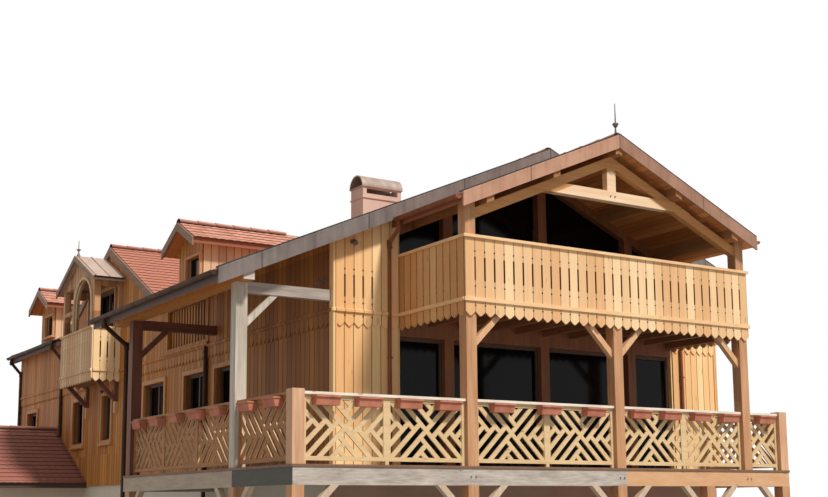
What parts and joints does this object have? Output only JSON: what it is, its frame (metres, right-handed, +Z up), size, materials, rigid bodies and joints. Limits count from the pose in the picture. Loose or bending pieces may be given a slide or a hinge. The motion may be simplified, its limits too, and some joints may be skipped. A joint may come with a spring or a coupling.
{
  "type": "alpine chalet",
  "caption": "Long timber chalet on a plastered ground storey, with a carved gable balcony, a trellised terrace, gabled dormers and an arched loggia on its side.",
  "frame": {"origin": "foot of the middle front post, on the ground below the ridge line", "axes": "+Z up, +X to the right along the front, +Y back along the ridge, away from the front"},
  "size_m": [12.489, 21.099, 8.821],
  "materials": {
    "larch": "oiled larch boards",
    "rose_timber": "planed, slightly darker",
    "grey_timber": "weathered",
    "roof_tile": "matt clay tiles",
    "zinc": "weathered sheet",
    "copper": "browned sheet",
    "plaster": "smooth render",
    "glass": "clear panes"
  },
  "bodies": {
    "root": {"ground_front_wall": "plaster", "ground_side_walls": "plaster", "ground_back_wall": "plaster", "terrace_floor_slab": "plaster", "upper_floor_slab": "larch", "front_deck": "grey_timber", "side_deck": "grey_timber", "deck_beams": "grey_timber", "deck_posts": "rose_timber", "braces": "rose_timber", "front_bays": "larch", "front_lintel": "larch", "front_mullions": "rose_timber", "gable_frame": "rose_timber", "front_glazing": "glass", "left_wall": "larch", "right_wall": "larch", "back_wall": "larch", "window_glass": "glass", "main_roof_left": "roof_tile", "main_roof_right": "roof_tile", "main_barge_boards": "zinc", "front_roof": "roof_tile", "front_barge_boards": "rose_timber", "front_truss": "larch", "purlins": "larch", "balcony_posts": "rose_timber", "balcony_floor": "larch", "balcony_boards": "larch", "balcony_rails": "larch", "terrace_posts": "rose_timber", "front_trellis": "larch", "side_trellis": "larch", "flower_boxes": "roof_tile", "tie_beams": "grey_timber", "dormer_walls": "larch", "dormer_roofs": "roof_tile", "cross_gable_wall": "larch", "cross_gable_roof": "roof_tile", "side_barge_boards": "grey_timber", "loggia_floor": "larch", "loggia_boards": "larch", "loggia_posts": "larch", "loggia_arch": "larch", "loggia_roof": "copper", "chimney_stack": "plaster", "chimney_cap": "copper", "gutters": "copper", "downpipes": "copper", "finials": "zinc", "annexe_walls": "plaster", "annexe_roof": "roof_tile"}
  },
  "joints": []
}
